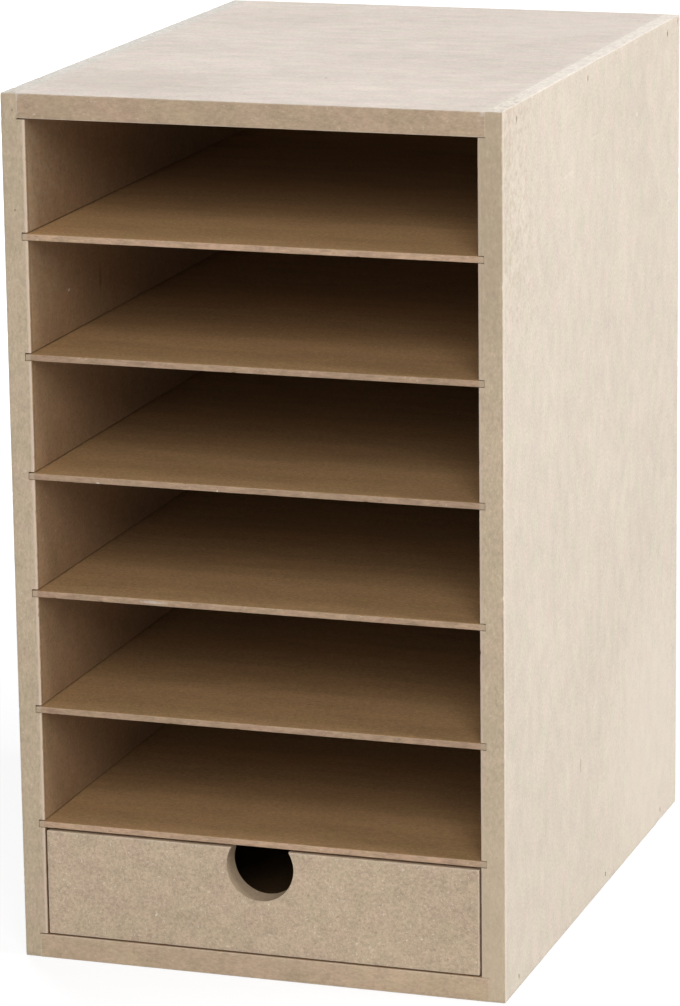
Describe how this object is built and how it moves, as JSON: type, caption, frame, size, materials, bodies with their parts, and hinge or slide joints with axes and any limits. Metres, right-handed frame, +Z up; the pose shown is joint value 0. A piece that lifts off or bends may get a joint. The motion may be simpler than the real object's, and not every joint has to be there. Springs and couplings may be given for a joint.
{
  "type": "desktop paper storage drawers",
  "caption": "Upright fibreboard case with thin shelves sliding in grooves for craft paper, and a drawer with a round finger notch in the lowest bay.",
  "frame": {"origin": "middle of the underside, at half width and half depth", "axes": "+Z up, +X to the right seen from the front, +Y to the back; the open front and the drawer face -Y"},
  "size_m": [0.245, 0.328, 0.4268],
  "materials": {
    "case_board": "bare sanded fibreboard, matt",
    "drawer_face": "bare fibreboard, matt, faintly speckled",
    "shelf_board": "bare thin fibreboard, slightly burnished faces",
    "thin_board": "bare thin fibreboard",
    "brad_wire": "dull galvanised wire"
  },
  "bodies": {
    "case": {"left_side_panel": "case_board", "right_side_panel": "case_board", "top_panel": "case_board", "bottom_panel": "case_board", "back_panel": "thin_board", "left_side_brads": "brad_wire", "right_side_brads": "brad_wire", "back_panel_brads": "brad_wire"},
    "drawer": {"drawer_front": "drawer_face", "drawer_left_side": "thin_board", "drawer_right_side": "thin_board", "drawer_back": "case_board", "drawer_bottom": "thin_board", "drawer_left_brads": "brad_wire", "drawer_right_brads": "brad_wire", "drawer_bottom_brads": "brad_wire"},
    "shelf_1": {"shelf_1": "shelf_board"},
    "shelf_2": {"shelf_2": "shelf_board"},
    "shelf_3": {"shelf_3": "shelf_board"},
    "shelf_4": {"shelf_4": "shelf_board"},
    "shelf_5": {"shelf_5": "shelf_board"},
    "shelf_6": {"shelf_6": "shelf_board"}
  },
  "joints": [
    {"name": "drawer_slide", "type": "slide", "parent": "case", "child": "drawer", "axis": [0, -1, 0], "range_m": [0, 0.298]},
    {"name": "shelf_1_slide", "type": "slide", "parent": "case", "child": "shelf_1", "axis": [0, -1, 0], "range_m": [0, 0.3]},
    {"name": "shelf_2_slide", "type": "slide", "parent": "case", "child": "shelf_2", "axis": [0, -1, 0], "range_m": [0, 0.3]},
    {"name": "shelf_3_slide", "type": "slide", "parent": "case", "child": "shelf_3", "axis": [0, -1, 0], "range_m": [0, 0.3]},
    {"name": "shelf_4_slide", "type": "slide", "parent": "case", "child": "shelf_4", "axis": [0, -1, 0], "range_m": [0, 0.3]},
    {"name": "shelf_5_slide", "type": "slide", "parent": "case", "child": "shelf_5", "axis": [0, -1, 0], "range_m": [0, 0.3]},
    {"name": "shelf_6_slide", "type": "slide", "parent": "case", "child": "shelf_6", "axis": [0, -1, 0], "range_m": [0, 0.3]}
  ]
}
